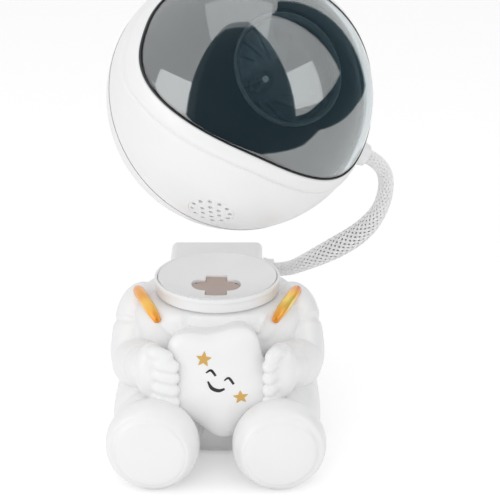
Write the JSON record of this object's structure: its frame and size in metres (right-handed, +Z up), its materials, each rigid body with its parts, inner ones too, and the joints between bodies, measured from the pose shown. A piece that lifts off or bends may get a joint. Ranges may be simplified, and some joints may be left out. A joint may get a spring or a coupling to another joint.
{
  "type": "star night light projector",
  "caption": "Seated astronaut figure with a ball helmet that projects stars, lifts off a magnetic dish and hangs on a braided hose, hugging a star pillow.",
  "frame": {"origin": "middle of the pad that the figure rests on, under the collar's axis", "axes": "+Z up, -Y the way the seated figure faces, +X to the right as seen from the front"},
  "size_m": [0.1293, 0.1199, 0.2186],
  "materials": {
    "white_plastic": "glossy moulded white plastic",
    "pillow_plastic": "glossy moulded white plastic with a printed sleeping face",
    "gold_plastic": "painted orange gold",
    "button_plastic": "glossy",
    "base_plastic": "fine matt",
    "pad_rubber": "matt soft rubber",
    "steel": "zinc plated",
    "ballast_steel": "plain",
    "magnet_plate": "plated, matt, warm",
    "magnet_steel": "nickel plated",
    "circuit_board": "solder mask",
    "socket_steel": "bright",
    "hose_braid": "braided mesh of white plastic yarn",
    "visor_plastic": "deep gloss tinted",
    "black_plastic": "satin",
    "lens_glass": "clear",
    "wheel_plastic": "clear rippled",
    "motor_steel": "plain",
    "aluminium": "anodised",
    "brass": "plain",
    "speaker_black": "black"
  },
  "bodies": {
    "base": {"base_pad": "pad_rubber", "base_cover": "base_plastic", "base_screws": "steel", "torso_front_shell": "white_plastic", "torso_rear_shell": "white_plastic", "left_leg": "white_plastic", "right_leg": "white_plastic", "left_arm": "white_plastic", "right_arm": "white_plastic", "star_pillow": "pillow_plastic", "left_shoulder_strap": "gold_plastic", "right_shoulder_strap": "gold_plastic", "collar_ring": "white_plastic", "seat_dish": "white_plastic", "magnet_plate": "magnet_plate", "magnet": "magnet_steel", "magnet_holder": "base_plastic", "backpack": "white_plastic", "button_board": "circuit_board", "hose_gland": "white_plastic", "ballast_plate": "ballast_steel", "main_board": "circuit_board", "usb_socket": "socket_steel"},
    "hose": {"hose": "hose_braid"},
    "swivel": {"hose_ferrule": "white_plastic"},
    "head": {"helmet_front_shell": "white_plastic", "helmet_rear_shell": "white_plastic", "helmet_screws": "steel", "visor": "visor_plastic", "visor_mask": "black_plastic", "lens_ring": "black_plastic", "projector_lens": "lens_glass", "optics_barrel": "black_plastic", "wheel_motor": "motor_steel", "led_board": "circuit_board", "heat_sink": "aluminium", "laser_module": "brass", "speaker_grille": "white_plastic", "speaker": "speaker_black", "catch_ring": "steel"},
    "wheel": {"nebula_wheel": "wheel_plastic", "wheel_shaft": "steel"},
    "power_button": {"power_button": "button_plastic"},
    "star_button": {"star_button": "button_plastic"},
    "nebula_button": {"nebula_button": "button_plastic"}
  },
  "joints": [
    {"name": "head_lift", "type": "slide", "parent": "base", "child": "hose", "axis": [0.3064, 0, 0.9519], "range_m": [-0.03362, 0.01], "deforming": ["hose"]},
    {"name": "head_turn", "type": "hinge", "parent": "hose", "child": "swivel", "pos_m": [0.0103, 0, 0.16093], "axis": [0, 0, 1], "range_deg": [-35, 20]},
    {"name": "head_tilt", "type": "hinge", "parent": "swivel", "child": "head", "pos_m": [0.0103, 0, 0.16093], "axis": [0.868, 0.169, -0.467], "range_deg": [-40, 30]},
    {"name": "nebula_spin", "type": "hinge", "parent": "head", "child": "wheel", "pos_m": [0.0103, 0, 0.16093], "axis": [0.42, -0.7516, 0.5086], "continuous": true},
    {"name": "power_button_press", "type": "slide", "parent": "base", "child": "power_button", "axis": [0, -1, 0], "range_m": [0, 0.0008], "stiffness_N_per_m": 600, "springref_m": -0.0006},
    {"name": "star_button_press", "type": "slide", "parent": "base", "child": "star_button", "axis": [0, -1, 0], "range_m": [0, 0.0008], "stiffness_N_per_m": 600, "springref_m": -0.0006},
    {"name": "nebula_button_press", "type": "slide", "parent": "base", "child": "nebula_button", "axis": [0, -1, 0], "range_m": [0, 0.0008], "stiffness_N_per_m": 600, "springref_m": -0.0006}
  ]
}
